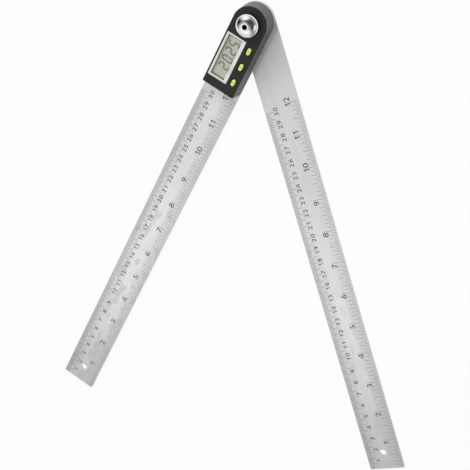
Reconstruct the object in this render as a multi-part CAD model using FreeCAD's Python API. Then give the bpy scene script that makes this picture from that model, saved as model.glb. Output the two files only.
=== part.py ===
"""Digital angle finder: two steel rulers on a common pivot, with a display head and a lock knob.

The tool lies on its back, display up. Z is up and zero is the back face of the swing ruler.
X and Y are zero on the pivot axis. The base ruler runs towards -Y, and the swing ruler is
drawn in its rest place, turned from the base ruler by REST_ANGLE_DEG towards +X.
All lengths are millimetres.
"""
import FreeCAD, Part
import math
import os

# Clearances
CUT_OVERRUN = 1.0
RUN_CLEAR = 0.05
FREE_CLEAR = 0.3
SEAT_CLEAR = 0.08

# Rulers
RULER_REACH = 366.9
RULER_THICK = 1.2
RULER_SIDE_MARGIN = 0.5
RULER_CORNER_R = 0.6
RULER_GAP = 0.3
HANG_HOLE_D = 5.0
HANG_HOLE_INSET = 14.6
REST_ANGLE_DEG = 45.0

# Housing
HOUSING_TAPER = 0.575
HOUSING_WALL = 1.6
HOUSING_FRONT_WALL = 1.8
HOUSING_CORNER_R = 0.8
HOUSING_EDGE_R = 0.6

# Display
BEZEL_LENGTH = 35.8
BEZEL_SIDE_MARGIN = 1.425
BEZEL_END_MARGIN = 7.1
BEZEL_KNOB_GAP = 3.6
BEZEL_BUTTON_GAP = 2.8
BEZEL_SEAT_DEPTH = 1.0
BEZEL_PROUD = 0.15
BEZEL_BORDER = 1.6
BEZEL_KEY_BORDER = 2.7
BEZEL_BEVEL = 0.4
WINDOW_LAP = 0.5
LCD_LAP = 0.5
LCD_LEDGE = 1.8
LCD_GLASS_THICK = 0.85
ZEBRA_WIDTH = 1.3
ZEBRA_END_GAP = 1.4

# Circuit board
BOARD_THICK = 1.0
BOARD_EDGE_GAP = 0.35
BOARD_HOLE_GAP = 1.0
BOARD_BOSS_D = 3.8
BOARD_SCREW_D = 1.6
BOARD_SCREW_HEAD_D = 3.0
BOARD_SCREW_HEAD_H = 0.9
BOARD_SCREW_LENGTH = 4.0
BOARD_SCREW_PIVOT_SIDE = 3.225
BOARD_SCREW_PIVOT_GAP = 1.8
BOARD_SCREW_KEY_SIDE = 4.025
BOARD_SCREW_END_INSET = 5.1
BOARD_SCREW_END_GAP = 3.1
CHIP_D = 8.0
CHIP_HEIGHT = 1.1
CHIP_SLOPE = 2.2

# Buttons
BUTTON_LENGTH = 6.2
BUTTON_WIDTH = 3.5
BUTTON_SIDE_MARGIN = 4.725
BUTTON_TOP_MARGIN = 5.1
BUTTON_BOTTOM_MARGIN = 4.1
BUTTON_PROUD = 0.6
BUTTON_TRAVEL = 0.4
BUTTON_BEVEL = 0.4
BUTTON_MARK_LENGTH = 2.8
BUTTON_MARK_WIDTH = 1.0
BUTTON_MARK_DEPTH = 0.15
BUTTON_FLANGE_LAP = 0.55
BUTTON_FLANGE_THICK = 0.8
BUTTON_STEM_D = 2.4
BUTTON_STEM_LENGTH = 0.6
BUTTON_WELL_LAP = 0.45
BUTTON_WELL_DEPTH = 0.5
SWITCH_SIZE = 4.5
SWITCH_BODY_H = 1.3
SWITCH_PLUNGER_D = 2.2
SWITCH_PLUNGER_H = 0.7
SWITCH_END_GAP = 0.1

# Housing screws
SCREW_D = 1.9
SCREW_HEAD_D = 3.6
SCREW_LENGTH = 5.0
SCREW_BOSS_D = 4.2
SCREW_BOSS_GAP = 0.3
SCREW_SIDE_MARGIN = 3.55
SCREW_UPPER_GAP = 6.5
SCREW_END_MARGIN = 3.0

# Pivot
THREAD_D = 5.0
SHAFT_FLAT_DEPTH = 0.45
SHAFT_STEP = 0.5
SHAFT_HEAD_SPREAD = 1.2
FRONT_HOLE_GAP = 0.6
BUSH_WALL = 1.5
BUSH_HEIGHT = 3.0
BUSH_FLANGE_WIDTH = 3.0
BUSH_FLANGE_THICK = 1.0
FRICTION_WASHER_D = 24.0
SPRING_WASHER_THICK = 0.3
SPRING_WASHER_CONE = 0.3
CLIP_THICK = 0.5
CLIP_WIDTH = 1.5
CLIP_GROOVE_DEPTH = 0.7
CLIP_MOUTH_SHARE = 0.8
ROTOR_SIDE_GAP = 0.95
ROTOR_THICK = 1.0
ROTOR_HUB_WALL = 2.0
ROTOR_CLIP_GAP = 0.55
ROTOR_AIR_GAP = 0.5
ROTOR_SLOT_LENGTH = 2.6
ROTOR_SLOT_WIDTH = 0.8
ROTOR_SLOT_COUNT = 24

# Lock knob
PRESSURE_WASHER_WIDTH = 3.0
PRESSURE_WASHER_THICK = 0.8
KNOB_RIM_D = 17.0
KNOB_RIM_TOP = 4.9
KNOB_RIM_STEP = 0.5
KNOB_DOME_TOP = 7.6
KNOB_DOME_BULGE = 0.35
KNOB_TOP = 8.4
KNOB_RING_D = 5.8
KNOB_HOLE_D = 3.4
KNOB_HOLE_DEPTH = 2.6
KNOB_THREAD_GAP = 0.4

# Battery
CELL_D = 20.0
CELL_THICK = 3.2
CELL_CAP_RISE = 0.25
CELL_CAP_MARGIN = 1.65
CELL_BOARD_ROOM = 0.8
HOLDER_WALL = 1.65
HOLDER_SIDE_GAP = 0.25
HOLDER_END_MARGIN = 4.55
HOLDER_TOP_GAP = 0.1
HOLDER_LEDGE = 0.6
HOLDER_GROOVE_HEIGHT = 1.2
HOLDER_PEG_D = 1.6
HOLDER_NOTCH_WIDTH = 5.0
HOLDER_PEG_ANGLES_DEG = (20.0, 160.0, 235.0, 305.0)
COVER_THICK = 0.9
COVER_LIP = 1.35
COVER_LUG_LENGTH = 5.0
COVER_LUG_THICK = 0.5
COVER_LUG_REACH = 1.2
COVER_TURN_DEG = 45.0
COIN_SLOT_LENGTH = 15.0
COIN_SLOT_WIDTH = 1.9
COIN_SLOT_DEPTH = 0.5
CONTACT_THICK = 0.25
CONTACT_WIDTH = 3.0
CONTACT_FOOT = 3.0
CONTACT_REACH = 6.0

# Heights from the rulers up to the circuit board
BASE_BACK = RULER_THICK + RULER_GAP
BASE_FRONT = BASE_BACK + RULER_THICK
LUG_BACK = BASE_FRONT + HOLDER_LEDGE + FREE_CLEAR
LUG_FRONT = LUG_BACK + COVER_LUG_THICK
CELL_BACK = LUG_FRONT + FREE_CLEAR
CELL_FRONT = CELL_BACK + CELL_THICK
HOLDER_FRONT = CELL_FRONT - HOLDER_TOP_GAP
BOARD_BACK = CELL_FRONT + CELL_BOARD_ROOM
BOARD_FRONT = BOARD_BACK + BOARD_THICK

# Heights from the board up to the housing's face
SWITCH_TOP = BOARD_FRONT + SWITCH_BODY_H + SWITCH_PLUNGER_H
BUTTON_STEM_BACK = SWITCH_TOP + SWITCH_END_GAP + BUTTON_TRAVEL
BUTTON_FLANGE_BACK = BUTTON_STEM_BACK + BUTTON_STEM_LENGTH
BUTTON_FLANGE_FRONT = BUTTON_FLANGE_BACK + BUTTON_FLANGE_THICK
INNER_Z = BUTTON_FLANGE_FRONT + FREE_CLEAR
FACE_Z = INNER_Z + HOUSING_FRONT_WALL
BEZEL_SEAT_Z = FACE_Z - BEZEL_SEAT_DEPTH

# Heights at the pivot
BUSH_TOP = BASE_BACK + BUSH_HEIGHT
CLIP_BACK = BUSH_TOP + SPRING_WASHER_THICK + SPRING_WASHER_CONE + RUN_CLEAR
CLIP_FRONT = CLIP_BACK + CLIP_THICK
HUB_BACK = CLIP_FRONT + ROTOR_CLIP_GAP
ROTOR_FRONT = BOARD_BACK - ROTOR_AIR_GAP
ROTOR_BACK = ROTOR_FRONT - ROTOR_THICK
WASHER_BACK = FACE_Z + FREE_CLEAR
WASHER_FRONT = WASHER_BACK + PRESSURE_WASHER_THICK
KNOB_BORE_BACK = WASHER_FRONT + FREE_CLEAR
KNOB_SHOULDER = FACE_Z + KNOB_TOP - KNOB_HOLE_DEPTH
SHAFT_TOP = KNOB_SHOULDER - KNOB_THREAD_GAP

# Radii at the pivot, worked outwards from the knob's thread
SHAFT_FLAT = THREAD_D / 2 + RUN_CLEAR
SHAFT_TOP_R = SHAFT_FLAT + SHAFT_FLAT_DEPTH
SHAFT_MID_R = SHAFT_TOP_R + SHAFT_STEP
JOURNAL_R = SHAFT_MID_R + SHAFT_STEP
BUSH_R = JOURNAL_R + BUSH_WALL
PRESSURE_WASHER_R = SHAFT_TOP_R + PRESSURE_WASHER_WIDTH

# Widths, worked outwards from the battery
HOLDER_INNER_R = CELL_D / 2 + FREE_CLEAR
HOLDER_OUTER_R = HOLDER_INNER_R + HOLDER_WALL
COVER_PLUG_R = HOLDER_INNER_R - FREE_CLEAR
COVER_R = COVER_PLUG_R + COVER_LIP
ROTOR_R = HOLDER_OUTER_R - ROTOR_SIDE_GAP
HOUSING_BACK_HALF = HOLDER_OUTER_R + HOLDER_SIDE_GAP + HOUSING_WALL
HOUSING_FRONT_HALF = HOUSING_BACK_HALF - HOUSING_TAPER
HOUSING_DRAFT = HOUSING_TAPER / (FACE_Z - BASE_FRONT)
RULER_HALF = HOUSING_BACK_HALF + RULER_SIDE_MARGIN

# The display's rectangles, as left, right, bottom and top
BUTTON_X = HOUSING_FRONT_HALF - BUTTON_SIDE_MARGIN
BEZEL_RIGHT = BUTTON_X - BUTTON_WIDTH / 2 - BEZEL_BUTTON_GAP
BEZEL_TOP = -KNOB_RIM_D / 2 - BEZEL_KNOB_GAP
BEZEL_BOTTOM = BEZEL_TOP - BEZEL_LENGTH
BEZEL_RECT = (BEZEL_SIDE_MARGIN - HOUSING_FRONT_HALF, BEZEL_RIGHT, BEZEL_BOTTOM, BEZEL_TOP)
VIEW_RECT = (BEZEL_RECT[0] + BEZEL_BORDER, BEZEL_RIGHT - BEZEL_KEY_BORDER,
             BEZEL_BOTTOM + BEZEL_BORDER, BEZEL_TOP - BEZEL_BORDER)

# Places along the housing
HOUSING_END_Y = BEZEL_BOTTOM - BEZEL_END_MARGIN
CELL_Y = HOUSING_END_Y + HOLDER_END_MARGIN + HOLDER_OUTER_R
BUTTON_FIRST_Y = BEZEL_TOP - BUTTON_TOP_MARGIN
BUTTON_PITCH = (BEZEL_LENGTH - BUTTON_TOP_MARGIN - BUTTON_BOTTOM_MARGIN) / 2
BUTTON_PLACES = [(BUTTON_X, BUTTON_FIRST_Y - i * BUTTON_PITCH) for i in range(3)]
BUTTON_NAMES = ["top_button", "middle_button", "bottom_button"]
SCREW_X = HOUSING_BACK_HALF - SCREW_SIDE_MARGIN
SCREW_ROWS = (BEZEL_TOP - SCREW_UPPER_GAP, HOUSING_END_Y + SCREW_END_MARGIN)
SCREW_PLACES = [(side * SCREW_X, row) for row in SCREW_ROWS for side in (-1, 1)]
BOARD_SCREW_END_X = SCREW_X - BOARD_SCREW_END_INSET
BOARD_SCREW_PLACES = [
    (BOARD_SCREW_PIVOT_SIDE - HOUSING_FRONT_HALF, BEZEL_TOP + BOARD_SCREW_PIVOT_GAP),
    (HOUSING_FRONT_HALF - BOARD_SCREW_KEY_SIDE, BUTTON_FIRST_Y - BUTTON_PITCH / 2),
    (-BOARD_SCREW_END_X, BEZEL_BOTTOM - BOARD_SCREW_END_GAP),
    (BOARD_SCREW_END_X, BEZEL_BOTTOM - BOARD_SCREW_END_GAP),
]
CHIP_PLACE = ((VIEW_RECT[0] + VIEW_RECT[1]) / 2, (VIEW_RECT[2] + VIEW_RECT[3]) / 2)


def vec(x, y, z):
    return FreeCAD.Vector(x, y, z)


def cylinder(radius, back, front, place=(0, 0)):
    return Part.makeCylinder(radius, front - back, vec(place[0], place[1], back))


def ring(outer, inner, back, front, place=(0, 0)):
    hole = cylinder(inner, back - CUT_OVERRUN, front + CUT_OVERRUN, place)
    return cylinder(outer, back, front, place).cut(hole)


def cone(back_radius, front_radius, back, front, place=(0, 0)):
    return Part.makeCone(back_radius, front_radius, front - back, vec(place[0], place[1], back))


def block(left, right, bottom, top, back, front):
    return Part.makeBox(right - left, top - bottom, front - back, vec(left, bottom, back))


def grown(rect, by):
    """The rectangle with each side moved outwards."""
    left, right, bottom, top = rect
    return (left - by, right + by, bottom - by, top + by)


def oblong(length, width, back, front, place):
    """A bar with round ends, its length along Y."""
    radius = width / 2
    half = length / 2 - radius
    x, y = place
    right_top = vec(x + radius, y + half, back)
    left_top = vec(x - radius, y + half, back)
    left_low = vec(x - radius, y - half, back)
    right_low = vec(x + radius, y - half, back)
    edges = [
        Part.Arc(right_top, vec(x, y + half + radius, back), left_top).toShape(),
        Part.makeLine(left_top, left_low),
        Part.Arc(left_low, vec(x, y - half - radius, back), right_low).toShape(),
        Part.makeLine(right_low, right_top),
    ]
    return Part.Face(Part.Wire(edges)).extrude(vec(0, 0, front - back))


def flat_face(points):
    """A face inside straight lines from point to point."""
    return Part.Face(Part.makePolygon(points + points[:1]))


def head_plate(half, end, corner, back, front):
    """A plate round about the pivot at the top and square at its lower end."""
    turn = corner * (1 - math.sqrt(0.5))
    edges = [
        Part.Arc(vec(-half, 0, back), vec(0, half, back), vec(half, 0, back)).toShape(),
        Part.makeLine(vec(half, 0, back), vec(half, end + corner, back)),
        Part.Arc(vec(half, end + corner, back), vec(half - turn, end + turn, back),
                 vec(half - corner, end, back)).toShape(),
        Part.makeLine(vec(half - corner, end, back), vec(corner - half, end, back)),
        Part.Arc(vec(corner - half, end, back), vec(turn - half, end + turn, back),
                 vec(-half, end + corner, back)).toShape(),
        Part.makeLine(vec(-half, end + corner, back), vec(-half, 0, back)),
    ]
    return Part.Face(Part.Wire(edges)).extrude(vec(0, 0, front - back))


def revolved(points):
    """A solid turned about Z from a closed outline of (radius, height) points."""
    face = flat_face([vec(radius, 0, height) for radius, height in points])
    return face.revolve(vec(0, 0, 0), vec(0, 0, 1), 360)


def keyed_hole(radius, clearance, back, front):
    """The hole for a section of the pivot shaft that has the flat."""
    wide = radius + clearance
    return cylinder(wide, back, front).cut(block(SHAFT_FLAT + clearance, wide, -wide, wide, back, front))


def at_rest_angle(solid):
    """Turn a piece of the swing arm from the base ruler's line to its rest place."""
    turned = solid.copy()
    turned.rotate(vec(0, 0, 0), vec(0, 0, 1), REST_ANGLE_DEG)
    return turned


def ruler(back, front):
    """A plain ruler along -Y with its hanging hole."""
    plate = head_plate(RULER_HALF, -RULER_REACH, RULER_CORNER_R, back, front)
    hole_place = (0, HANG_HOLE_INSET - RULER_REACH)
    return plate.cut(cylinder(HANG_HOLE_D / 2, back - CUT_OVERRUN, front + CUT_OVERRUN, hole_place))


def make_base_ruler():
    plate = ruler(BASE_BACK, BASE_FRONT)
    back = BASE_BACK - CUT_OVERRUN
    front = BASE_FRONT + CUT_OVERRUN
    plate = plate.cut(cylinder(BUSH_R, back, front))
    plate = plate.cut(cylinder(COVER_R + FREE_CLEAR, back, front, (0, CELL_Y)))
    shank = SCREW_D / 2 + RUN_CLEAR
    head = SCREW_HEAD_D / 2 + RUN_CLEAR
    for place in SCREW_PLACES:
        plate = plate.cut(cylinder(shank, back, front, place))
        plate = plate.cut(cone(head, shank, BASE_BACK, BASE_BACK + head - shank, place))
    return plate


def make_swing_ruler():
    plate = ruler(0, RULER_THICK)
    seat = cone(JOURNAL_R + SHAFT_HEAD_SPREAD, JOURNAL_R, 0, RULER_THICK)
    return at_rest_angle(plate.cut(seat))


def housing_half(z):
    """Half width of the housing's outside at a height."""
    return HOUSING_FRONT_HALF + HOUSING_DRAFT * (FACE_Z - z)


def housing_end(z):
    """Where the housing's flat end lies at a height."""
    return HOUSING_END_Y - HOUSING_DRAFT * (FACE_Z - z)


def housing_body(back, front, inset):
    """The housing's tapered form between two heights, moved in from its outside by inset."""
    head = cone(housing_half(back) - inset, housing_half(front) - inset, back, front)
    rims = []
    for z in (back, front):
        half = housing_half(z) - inset
        end = housing_end(z) + inset
        rims.append([vec(half, 0, z), vec(-half, 0, z), vec(-half, end, z), vec(half, end, z)])
    low, high = rims
    sides = [[low[i - 1], low[i], high[i], high[i - 1]] for i in range(len(low))]
    tail = Part.makeSolid(Part.makeShell([flat_face(points) for points in [low, high] + sides]))
    body = head.fuse(tail).removeSplitter()
    return body.makeFillet(HOUSING_CORNER_R, [edge for edge in body.Edges if is_end_corner(edge)])


def is_end_corner(edge):
    """True for an edge that climbs the housing at its flat end."""
    start = edge.Vertexes[0]
    finish = edge.Vertexes[-1]
    return abs(start.Z - finish.Z) > RUN_CLEAR and max(start.Y, finish.Y) < -RUN_CLEAR


def edges_at(solid, height):
    """The edges that lie wholly at one height."""
    return [edge for edge in solid.Edges if all(abs(v.Z - height) < RUN_CLEAR for v in edge.Vertexes)]


def housing_bosses():
    """Screw bosses along the side walls and board bosses under the front wall."""
    boss_top = BOARD_BACK - SCREW_BOSS_GAP
    bosses = [cylinder(SCREW_BOSS_D / 2, BASE_FRONT, boss_top, place) for place in SCREW_PLACES]
    for place in BOARD_SCREW_PLACES:
        bosses.append(cylinder(BOARD_BOSS_D / 2, BOARD_FRONT, INNER_Z, place))
    return bosses


def make_housing_cover():
    outer = housing_body(BASE_FRONT, FACE_Z, 0)
    shell = outer.makeFillet(HOUSING_EDGE_R, edges_at(outer, FACE_Z))
    shell = shell.cut(housing_body(BASE_FRONT - CUT_OVERRUN, INNER_Z, HOUSING_WALL))
    for boss in housing_bosses():
        shell = shell.fuse(boss.common(outer))
    below = INNER_Z - CUT_OVERRUN
    front = FACE_Z + CUT_OVERRUN
    shell = shell.cut(block(*grown(BEZEL_RECT, SEAT_CLEAR), BEZEL_SEAT_Z, front))
    shell = shell.cut(block(*grown(VIEW_RECT, WINDOW_LAP + SEAT_CLEAR), below, front))
    shell = shell.cut(cylinder(SHAFT_TOP_R + FRONT_HOLE_GAP, below, front))
    for place in BUTTON_PLACES:
        length = BUTTON_LENGTH + 2 * FREE_CLEAR
        width = BUTTON_WIDTH + 2 * FREE_CLEAR
        shell = shell.cut(oblong(length, width, below, front, place))
        well_length = length + 2 * BUTTON_WELL_LAP
        well_width = width + 2 * BUTTON_WELL_LAP
        shell = shell.cut(oblong(well_length, well_width, FACE_Z - BUTTON_WELL_DEPTH, front, place))
    for place in SCREW_PLACES:
        shell = shell.cut(cylinder(SCREW_D / 2, BASE_FRONT - CUT_OVERRUN, BASE_BACK + SCREW_LENGTH, place))
    for place in BOARD_SCREW_PLACES:
        hole_front = BOARD_BACK + BOARD_SCREW_LENGTH
        shell = shell.cut(cylinder(BOARD_SCREW_D / 2, BOARD_BACK, hole_front, place))
    return shell.removeSplitter()


def make_housing_screws():
    screws = []
    head = SCREW_HEAD_D / 2
    shank = SCREW_D / 2
    neck = BASE_BACK + head - shank
    for place in SCREW_PLACES:
        screw = cone(head, shank, BASE_BACK, neck, place)
        screws.append(screw.fuse(cylinder(shank, neck, BASE_BACK + SCREW_LENGTH, place)))
    return Part.makeCompound(screws)


def make_display_bezel():
    front = FACE_Z + BEZEL_PROUD
    frame = block(*BEZEL_RECT, BEZEL_SEAT_Z, front)
    frame = frame.cut(block(*VIEW_RECT, BEZEL_SEAT_Z - CUT_OVERRUN, front + CUT_OVERRUN))
    return frame.makeChamfer(BEZEL_BEVEL, [edge for edge in edges_at(frame, front) if is_view_edge(edge)])


def is_view_edge(edge):
    """True for an edge of the bezel's opening."""
    left, right, bottom, top = grown(VIEW_RECT, RUN_CLEAR)
    middle = edge.CenterOfMass
    return left < middle.x < right and bottom < middle.y < top


def make_display_window():
    return block(*grown(VIEW_RECT, WINDOW_LAP), INNER_Z, BEZEL_SEAT_Z)


def make_lcd_panel():
    """Two glasses: the front one is wider, and its ledges carry the contacts."""
    rect = grown(VIEW_RECT, WINDOW_LAP + LCD_LAP)
    left, right, bottom, top = rect
    middle = INNER_Z - LCD_GLASS_THICK
    front_glass = block(*rect, middle, INNER_Z)
    back_glass = block(left + LCD_LEDGE, right - LCD_LEDGE, bottom, top, middle - LCD_GLASS_THICK, middle)
    return front_glass.fuse(back_glass)


def make_zebra_strips():
    left, right, bottom, top = grown(VIEW_RECT, WINDOW_LAP + LCD_LAP)
    side = (LCD_LEDGE - ZEBRA_WIDTH) / 2
    low = bottom + ZEBRA_END_GAP
    high = top - ZEBRA_END_GAP
    front = INNER_Z - LCD_GLASS_THICK
    starts = (left + side, right - side - ZEBRA_WIDTH)
    strips = [block(start, start + ZEBRA_WIDTH, low, high, BOARD_FRONT, front) for start in starts]
    return Part.makeCompound(strips)


def make_circuit_board():
    inset = HOUSING_WALL + BOARD_EDGE_GAP
    half = housing_half(BOARD_FRONT) - inset
    end = housing_end(BOARD_FRONT) + inset
    board = head_plate(half, end, HOUSING_CORNER_R, BOARD_BACK, BOARD_FRONT)
    back = BOARD_BACK - CUT_OVERRUN
    front = BOARD_FRONT + CUT_OVERRUN
    board = board.cut(cylinder(SHAFT_MID_R + BOARD_HOLE_GAP, back, front))
    for place in BOARD_SCREW_PLACES:
        board = board.cut(cylinder(BOARD_SCREW_D / 2, back, front, place))
    return board


def make_board_screws():
    screws = []
    for place in BOARD_SCREW_PLACES:
        head = cylinder(BOARD_SCREW_HEAD_D / 2, BOARD_BACK - BOARD_SCREW_HEAD_H, BOARD_BACK, place)
        shank = cylinder(BOARD_SCREW_D / 2, BOARD_BACK, BOARD_BACK + BOARD_SCREW_LENGTH, place)
        screws.append(head.fuse(shank))
    return Part.makeCompound(screws)


def make_controller_chip():
    """The potted blob over the processor, a low mound."""
    radius = CHIP_D / 2
    return cone(radius, radius - CHIP_SLOPE, BOARD_FRONT, BOARD_FRONT + CHIP_HEIGHT, CHIP_PLACE)


def make_key_switches():
    half = SWITCH_SIZE / 2
    body_front = BOARD_FRONT + SWITCH_BODY_H
    switches = []
    for x, y in BUTTON_PLACES:
        body = block(x - half, x + half, y - half, y + half, BOARD_FRONT, body_front)
        switches.append(body.fuse(cylinder(SWITCH_PLUNGER_D / 2, body_front, SWITCH_TOP, (x, y))))
    return Part.makeCompound(switches)


def make_button(place):
    """A key cap: bevelled oblong top, retaining flange under the housing wall, and a stem."""
    front = FACE_Z + BUTTON_PROUD
    cap = oblong(BUTTON_LENGTH, BUTTON_WIDTH, BUTTON_FLANGE_FRONT, front, place)
    cap = cap.makeChamfer(BUTTON_BEVEL, edges_at(cap, front))
    mark_back = front - BUTTON_MARK_DEPTH
    cap = cap.cut(oblong(BUTTON_MARK_LENGTH, BUTTON_MARK_WIDTH, mark_back, front + CUT_OVERRUN, place))
    lap = 2 * (FREE_CLEAR + BUTTON_FLANGE_LAP)
    flange = oblong(BUTTON_LENGTH + lap, BUTTON_WIDTH + lap, BUTTON_FLANGE_BACK, BUTTON_FLANGE_FRONT, place)
    stem = cylinder(BUTTON_STEM_D / 2, BUTTON_STEM_BACK, BUTTON_FLANGE_BACK, place)
    return cap.fuse(flange).fuse(stem).removeSplitter()


def make_pivot_shaft():
    """Countersunk head flush with the ruler, journal, two sections with one flat, and the thread."""
    groove = JOURNAL_R - CLIP_GROOVE_DEPTH
    shaft = revolved([
        (0, 0),
        (JOURNAL_R + SHAFT_HEAD_SPREAD, 0),
        (JOURNAL_R, RULER_THICK),
        (JOURNAL_R, CLIP_BACK),
        (groove, CLIP_BACK),
        (groove, CLIP_FRONT),
        (JOURNAL_R, CLIP_FRONT),
        (JOURNAL_R, HUB_BACK),
        (SHAFT_MID_R, HUB_BACK),
        (SHAFT_MID_R, BOARD_BACK),
        (SHAFT_TOP_R, BOARD_BACK),
        (SHAFT_TOP_R, WASHER_FRONT),
        (THREAD_D / 2, WASHER_FRONT),
        (THREAD_D / 2, SHAFT_TOP),
        (0, SHAFT_TOP),
    ])
    beyond_flat = block(SHAFT_FLAT, JOURNAL_R, -JOURNAL_R, JOURNAL_R, HUB_BACK, WASHER_FRONT)
    return at_rest_angle(shaft.cut(beyond_flat))


def make_pivot_bush():
    bush = cylinder(BUSH_R, BASE_BACK, BUSH_TOP)
    bush = bush.fuse(cylinder(BUSH_R + BUSH_FLANGE_WIDTH, BASE_FRONT, BASE_FRONT + BUSH_FLANGE_THICK))
    return bush.cut(cylinder(JOURNAL_R + RUN_CLEAR, BASE_BACK - CUT_OVERRUN, BUSH_TOP + CUT_OVERRUN))


def make_friction_washer():
    return ring(FRICTION_WASHER_D / 2, JOURNAL_R + RUN_CLEAR, RULER_THICK, BASE_BACK - RUN_CLEAR)


def make_spring_washer():
    """A coned washer that lies on the bush at its outer edge."""
    inner = JOURNAL_R + RUN_CLEAR
    top = BUSH_TOP + SPRING_WASHER_CONE
    return revolved([
        (inner, top),
        (BUSH_R, BUSH_TOP),
        (BUSH_R, BUSH_TOP + SPRING_WASHER_THICK),
        (inner, top + SPRING_WASHER_THICK),
    ])


def make_retaining_clip():
    """An open clip that springs into the shaft's groove."""
    groove = JOURNAL_R - CLIP_GROOVE_DEPTH
    outer = JOURNAL_R + CLIP_WIDTH
    mouth = groove * CLIP_MOUTH_SHARE
    gap = block(-mouth, mouth, -outer, 0, CLIP_BACK - CUT_OVERRUN, CLIP_FRONT + CUT_OVERRUN)
    return at_rest_angle(ring(outer, groove, CLIP_BACK, CLIP_FRONT).cut(gap))


def make_encoder_rotor():
    """Sensor disc on a hub, with a ring of radial windows."""
    disc = cylinder(ROTOR_R, ROTOR_BACK, ROTOR_FRONT)
    disc = disc.fuse(cylinder(SHAFT_MID_R + ROTOR_HUB_WALL, HUB_BACK, ROTOR_BACK))
    back = HUB_BACK - CUT_OVERRUN
    front = ROTOR_FRONT + CUT_OVERRUN
    disc = disc.cut(keyed_hole(SHAFT_MID_R, 0, back, front))
    outer = ROTOR_R - ROTOR_SLOT_WIDTH
    half = ROTOR_SLOT_WIDTH / 2
    for i in range(ROTOR_SLOT_COUNT):
        slot = block(outer - ROTOR_SLOT_LENGTH, outer, -half, half, back, front)
        slot.rotate(vec(0, 0, 0), vec(0, 0, 1), 360 * i / ROTOR_SLOT_COUNT)
        disc = disc.cut(slot)
    return at_rest_angle(disc)


def make_pressure_washer():
    """Keyed washer between knob and housing, so the knob does not rub the plastic."""
    disc = cylinder(PRESSURE_WASHER_R, WASHER_BACK, WASHER_FRONT)
    hole = keyed_hole(SHAFT_TOP_R, RUN_CLEAR, WASHER_BACK - CUT_OVERRUN, WASHER_FRONT + CUT_OVERRUN)
    return at_rest_angle(disc.cut(hole))


def make_lock_knob():
    """Turned knob: straight rim, domed shoulder, small raised ring round the centre hole."""
    rim = KNOB_RIM_D / 2
    ring_outer = KNOB_RING_D / 2
    hole = KNOB_HOLE_D / 2
    bore = THREAD_D / 2 + RUN_CLEAR
    recess = PRESSURE_WASHER_R + FREE_CLEAR
    rim_top = FACE_Z + KNOB_RIM_TOP
    dome_top = FACE_Z + KNOB_DOME_TOP
    dome_edge = rim - KNOB_RIM_STEP
    ring_foot = ring_outer + KNOB_RIM_STEP
    chord_r = (dome_edge + ring_foot) / 2
    chord_z = (rim_top + KNOB_RIM_STEP + dome_top) / 2
    points = [
        (rim, WASHER_BACK),
        (rim, rim_top),
        (dome_edge, rim_top + KNOB_RIM_STEP),
        (ring_foot, dome_top),
        (ring_outer, dome_top + KNOB_RIM_STEP),
        (ring_outer, FACE_Z + KNOB_TOP),
        (hole, FACE_Z + KNOB_TOP),
        (hole, KNOB_SHOULDER),
        (bore, KNOB_SHOULDER),
        (bore, KNOB_BORE_BACK),
        (recess, KNOB_BORE_BACK),
        (recess, WASHER_BACK),
    ]
    corners = [vec(radius, 0, height) for radius, height in points]
    edges = []
    for start, finish in zip(corners, corners[1:] + corners[:1]):
        if start == corners[2]:
            middle = vec(chord_r + KNOB_DOME_BULGE, 0, chord_z + KNOB_DOME_BULGE)
            edges.append(Part.Arc(start, middle, finish).toShape())
        else:
            edges.append(Part.makeLine(start, finish))
    return Part.Face(Part.Wire(edges)).revolve(vec(0, 0, 0), vec(0, 0, 1), 360)


def make_coin_cell():
    """Can with a smaller negative cap on the board side."""
    place = (0, CELL_Y)
    radius = CELL_D / 2
    can_front = CELL_FRONT - CELL_CAP_RISE
    can = cylinder(radius, CELL_BACK, can_front, place)
    return can.fuse(cylinder(radius - CELL_CAP_MARGIN, can_front, CELL_FRONT, place))


def cover_lugs(length, reach, back, front):
    """Two opposite lugs that stand out of the battery cover's round plug, on the X sides."""
    lugs = []
    half = length / 2
    for side in (-1, 1):
        inner = side * COVER_PLUG_R / 2
        outer = side * (COVER_PLUG_R + reach)
        lug = block(min(inner, outer), max(inner, outer), CELL_Y - half, CELL_Y + half, back, front)
        lugs.append(lug.common(cylinder(COVER_PLUG_R + reach, back, front, (0, CELL_Y))))
    return lugs


def make_battery_holder():
    """Ring round the battery, with a ledge and groove that take the cover's lugs."""
    place = (0, CELL_Y)
    holder = ring(HOLDER_OUTER_R, HOLDER_INNER_R, BASE_FRONT, HOLDER_FRONT, place)
    groove_back = BASE_FRONT + HOLDER_LEDGE
    groove_front = groove_back + HOLDER_GROOVE_HEIGHT
    groove_r = COVER_PLUG_R + COVER_LUG_REACH + FREE_CLEAR
    holder = holder.cut(cylinder(groove_r, groove_back, groove_front, place))
    entry_length = COVER_LUG_LENGTH + 2 * FREE_CLEAR
    entry_reach = COVER_LUG_REACH + FREE_CLEAR
    for entry in cover_lugs(entry_length, entry_reach, BASE_FRONT - CUT_OVERRUN, groove_back):
        entry.rotate(vec(0, CELL_Y, 0), vec(0, 0, 1), COVER_TURN_DEG)
        holder = holder.cut(entry)
    half = HOLDER_NOTCH_WIDTH / 2
    notch_end = CELL_Y - HOLDER_OUTER_R - CUT_OVERRUN
    holder = holder.cut(block(-half, half, notch_end, CELL_Y, groove_front, HOLDER_FRONT + CUT_OVERRUN))
    peg_circle = (HOLDER_INNER_R + HOLDER_OUTER_R) / 2
    for angle in HOLDER_PEG_ANGLES_DEG:
        x = peg_circle * math.cos(math.radians(angle))
        y = CELL_Y + peg_circle * math.sin(math.radians(angle))
        holder = holder.fuse(cylinder(HOLDER_PEG_D / 2, HOLDER_FRONT, BOARD_BACK, (x, y)))
    return holder


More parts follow.
